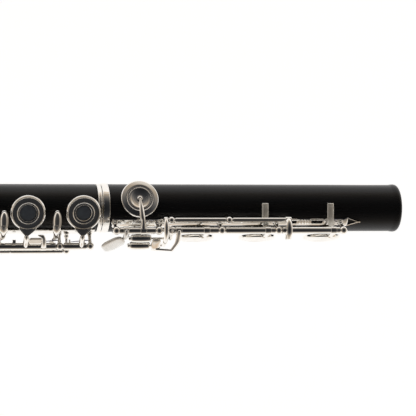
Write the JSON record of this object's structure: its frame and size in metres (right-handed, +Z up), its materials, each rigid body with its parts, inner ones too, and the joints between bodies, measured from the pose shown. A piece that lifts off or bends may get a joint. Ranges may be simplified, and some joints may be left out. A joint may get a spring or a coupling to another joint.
{
  "type": "concert flute",
  "caption": "Wooden Boehm-system transverse flute with silver-plated keywork, open-hole finger keys, offset side keys and a low B foot joint.",
  "frame": {"origin": "on the bore axis, under the centre of the embouchure hole", "axes": "+X along the bore to the foot end, +Z up through the row of finger-key cups, -Y towards the player and the hinge rods"},
  "size_m": [0.7065, 0.0462, 0.0443],
  "materials": {
    "grenadilla": "oiled, polished",
    "silver_plate": "polished silver plate, slightly warm",
    "steel": "ground pivot steel",
    "pad_skin": "matt bladder skin over felt",
    "cork": "matt cork"
  },
  "bodies": {
    "head_joint": {"head_tube": "grenadilla", "head_tenon": "silver_plate", "head_ring": "silver_plate", "stopper_cork": "cork", "stopper_screw": "steel"},
    "crown": {"crown_cap": "grenadilla"},
    "body_joint": {"body_tube": "grenadilla", "socket_lining": "silver_plate", "socket_ring": "silver_plate", "body_lower_ring": "silver_plate", "tenon_cork": "cork", "main_rib": "silver_plate", "main_steel": "steel", "thumb_rib": "silver_plate", "thumb_steel": "steel", "g_sharp_rib": "silver_plate"},
    "foot_joint": {"foot_tube": "grenadilla", "foot_ring": "silver_plate", "foot_rib": "silver_plate", "d_sharp_steel": "steel", "b_steel": "steel"},
    "trill_d_sharp_key": {"trill_d_sharp_key": "silver_plate", "pad_trill_d_sharp": "pad_skin"},
    "trill_d_key": {"trill_d_key": "silver_plate", "pad_trill_d": "pad_skin"},
    "c_key": {"c_key": "silver_plate", "pad_c": "pad_skin"},
    "thumb_b_key": {"thumb_b_key": "silver_plate", "pad_thumb_b": "pad_skin"},
    "thumb_b_flat_lever": {"thumb_b_flat_lever": "silver_plate"},
    "b_flat_key": {"b_flat_key": "silver_plate", "pad_b_flat": "pad_skin"},
    "a_key": {"a_key": "silver_plate", "pad_a": "pad_skin"},
    "g_key": {"g_key": "silver_plate", "pad_g": "pad_skin", "pad_g_second": "pad_skin"},
    "g_sharp_key": {"g_sharp_key": "silver_plate", "pad_g_sharp": "pad_skin"},
    "f_sharp_key": {"f_sharp_key": "silver_plate", "pad_f_sharp": "pad_skin"},
    "f_key": {"f_key": "silver_plate", "pad_f": "pad_skin"},
    "e_key": {"e_key": "silver_plate", "pad_e": "pad_skin"},
    "d_key": {"d_key": "silver_plate", "pad_d": "pad_skin"},
    "foot_d_sharp_key": {"foot_d_sharp_key": "silver_plate", "pad_foot_d_sharp": "pad_skin"},
    "foot_c_sharp_key": {"foot_c_sharp_key": "silver_plate", "pad_foot_c_sharp": "pad_skin"},
    "foot_c_key": {"foot_c_key": "silver_plate", "pad_foot_c": "pad_skin"},
    "foot_b_key": {"foot_b_key": "silver_plate", "pad_foot_b": "pad_skin"},
    "foot_b_lever": {"foot_b_lever": "silver_plate"},
    "roller_c": {"roller_c": "silver_plate"},
    "roller_b": {"roller_b": "silver_plate"}
  },
  "joints": [
    {"name": "crown_turn", "type": "hinge", "parent": "head_joint", "child": "crown", "pos_m": [-0.045, 0, 0], "axis": [1, 0, 0], "continuous": true},
    {"name": "tuning_slide", "type": "slide", "parent": "head_joint", "child": "body_joint", "axis": [1, 0, 0], "range_m": [0, 0.01]},
    {"name": "foot_turn", "type": "hinge", "parent": "body_joint", "child": "foot_joint", "pos_m": [0.483, 0, 0], "axis": [1, 0, 0], "range_deg": [-10, 10]},
    {"name": "trill_d_sharp_key_hinge", "type": "hinge", "parent": "body_joint", "child": "trill_d_sharp_key", "pos_m": [0.209, -0.02256, 0.00583], "axis": [1, 0, 0], "range_deg": [-7, 0], "stiffness_Nm_per_rad": 0.01, "springref_deg": 40.11},
    {"name": "trill_d_key_hinge", "type": "hinge", "parent": "body_joint", "child": "trill_d_key", "pos_m": [0.226, -0.02256, 0.00583], "axis": [1, 0, 0], "range_deg": [-7, 0], "stiffness_Nm_per_rad": 0.01, "springref_deg": 40.11},
    {"name": "c_key_hinge", "type": "hinge", "parent": "body_joint", "child": "c_key", "pos_m": [0.242, -0.01918, 0.01176], "axis": [1, 0, 0], "range_deg": [-5, 0], "stiffness_Nm_per_rad": 0.01, "springref_deg": 40.11},
    {"name": "thumb_b_key_hinge", "type": "hinge", "parent": "body_joint", "child": "thumb_b_key", "pos_m": [0.285, -0.02249, -0.00078], "axis": [1, 0, 0], "range_deg": [0, 5], "stiffness_Nm_per_rad": 0.01, "springref_deg": -40.11},
    {"name": "thumb_b_flat_lever_hinge", "type": "hinge", "parent": "body_joint", "child": "thumb_b_flat_lever", "pos_m": [0.308, -0.02249, -0.00078], "axis": [1, 0, 0], "range_deg": [0, 5], "stiffness_Nm_per_rad": 0.01, "springref_deg": -40.11},
    {"name": "b_flat_key_hinge", "type": "hinge", "parent": "body_joint", "child": "b_flat_key", "pos_m": [0.2956, -0.01918, 0.01176], "axis": [1, 0, 0], "range_deg": [-5, 0], "stiffness_Nm_per_rad": 0.01, "springref_deg": 40.11},
    {"name": "a_key_hinge", "type": "hinge", "parent": "body_joint", "child": "a_key", "pos_m": [0.3146, -0.01918, 0.01176], "axis": [1, 0, 0], "range_deg": [-5, 0], "stiffness_Nm_per_rad": 0.01, "springref_deg": 40.11},
    {"name": "g_key_hinge", "type": "hinge", "parent": "body_joint", "child": "g_key", "pos_m": [0.349, -0.01918, 0.01176], "axis": [1, 0, 0], "range_deg": [-5, 0], "stiffness_Nm_per_rad": 0.01, "springref_deg": 40.11},
    {"name": "g_sharp_key_hinge", "type": "hinge", "parent": "body_joint", "child": "g_sharp_key", "pos_m": [0.373, 0.01943, 0.01033], "axis": [1, 0, 0], "range_deg": [0, 7], "stiffness_Nm_per_rad": 0.01, "springref_deg": -40.11},
    {"name": "f_sharp_key_hinge", "type": "hinge", "parent": "body_joint", "child": "f_sharp_key", "pos_m": [0.3868, -0.01918, 0.01176], "axis": [1, 0, 0], "range_deg": [-5, 0], "stiffness_Nm_per_rad": 0.01, "springref_deg": 40.11},
    {"name": "f_key_hinge", "type": "hinge", "parent": "body_joint", "child": "f_key", "pos_m": [0.4098, -0.01918, 0.01176], "axis": [1, 0, 0], "range_deg": [-5, 0], "stiffness_Nm_per_rad": 0.01, "springref_deg": 40.11},
    {"name": "e_key_hinge", "type": "hinge", "parent": "body_joint", "child": "e_key", "pos_m": [0.4402, -0.01918, 0.01176], "axis": [1, 0, 0], "range_deg": [-5, 0], "stiffness_Nm_per_rad": 0.01, "springref_deg": 40.11},
    {"name": "d_key_hinge", "type": "hinge", "parent": "body_joint", "child": "d_key", "pos_m": [0.4683, -0.01918, 0.01176], "axis": [1, 0, 0], "range_deg": [-5, 0], "stiffness_Nm_per_rad": 0.01, "springref_deg": 40.11},
    {"name": "foot_d_sharp_key_hinge", "type": "hinge", "parent": "foot_joint", "child": "foot_d_sharp_key", "pos_m": [0.501, -0.00973, 0.01917], "axis": [1, 0, 0], "range_deg": [0, 7], "stiffness_Nm_per_rad": 0.01, "springref_deg": -40.11},
    {"name": "foot_c_sharp_key_hinge", "type": "hinge", "parent": "foot_joint", "child": "foot_c_sharp_key", "pos_m": [0.5317, -0.00973, 0.01917], "axis": [1, 0, 0], "range_deg": [0, 4.2], "stiffness_Nm_per_rad": 0.01, "springref_deg": -40.11},
    {"name": "foot_c_key_hinge", "type": "hinge", "parent": "foot_joint", "child": "foot_c_key", "pos_m": [0.563, -0.00973, 0.01917], "axis": [1, 0, 0], "range_deg": [0, 4.2], "stiffness_Nm_per_rad": 0.01, "springref_deg": -40.11},
    {"name": "foot_b_key_hinge", "type": "hinge", "parent": "foot_joint", "child": "foot_b_key", "pos_m": [0.597, -0.00973, 0.01917], "axis": [1, 0, 0], "range_deg": [0, 4.2], "stiffness_Nm_per_rad": 0.01, "springref_deg": -40.11},
    {"name": "foot_b_lever_hinge", "type": "hinge", "parent": "foot_joint", "child": "foot_b_lever", "pos_m": [0.54, -0.00419, 0.01802], "axis": [1, 0, 0], "range_deg": [0, 1.89]},
    {"name": "roller_c_spin", "type": "hinge", "parent": "foot_c_key", "child": "roller_c", "pos_m": [0.5033, -0.0143, 0.017], "axis": [1, 0, 0], "continuous": true},
    {"name": "roller_b_spin", "type": "hinge", "parent": "foot_b_lever", "child": "roller_b", "pos_m": [0.5033, -0.0187, 0.0135], "axis": [1, 0, 0], "continuous": true}
  ],
  "couplings": [
    {"joint": "foot_b_key_hinge", "follows": "foot_b_lever_hinge", "ratio": 2.22}
  ]
}
